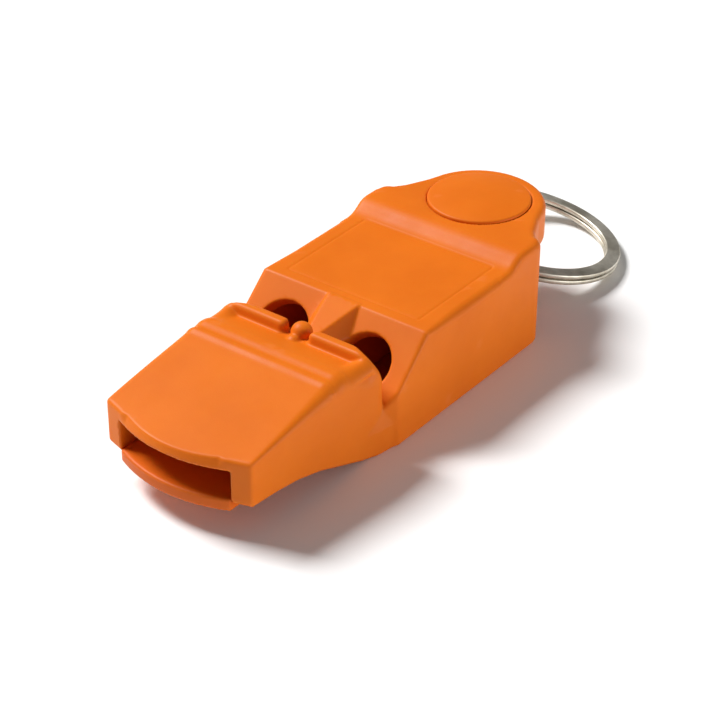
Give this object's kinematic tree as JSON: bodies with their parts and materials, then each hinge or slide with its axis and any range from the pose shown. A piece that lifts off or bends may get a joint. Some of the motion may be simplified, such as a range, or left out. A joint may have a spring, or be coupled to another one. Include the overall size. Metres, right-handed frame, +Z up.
{
  "type": "safety whistle",
  "caption": "Flat two-tone pealess safety whistle with toothed mouthpiece, twin sound ports and a split key ring on its tail.",
  "frame": {"origin": "centre of the footprint on the surface that the whistle lies on, ring included", "axes": "+X from the mouthpiece towards the key ring, +Y across the whistle, +Z up through the flat top"},
  "size_m": [0.0886, 0.0254, 0.0157],
  "materials": {
    "orange_plastic": "satin moulded safety orange",
    "ring_steel": "nickel-plated spring steel, fine drawn grain"
  },
  "bodies": {
    "whistle": {"upper_shell": "orange_plastic", "base_plate": "orange_plastic", "windway_block": "orange_plastic", "tail_button": "orange_plastic"},
    "ring": {"split_ring": "ring_steel"}
  },
  "joints": [
    {"name": "ring_swing", "type": "hinge", "parent": "whistle", "child": "ring", "pos_m": [0.02044, 0, 0.00535], "axis": [0, 1, 0], "range_deg": [-47, 105]}
  ]
}
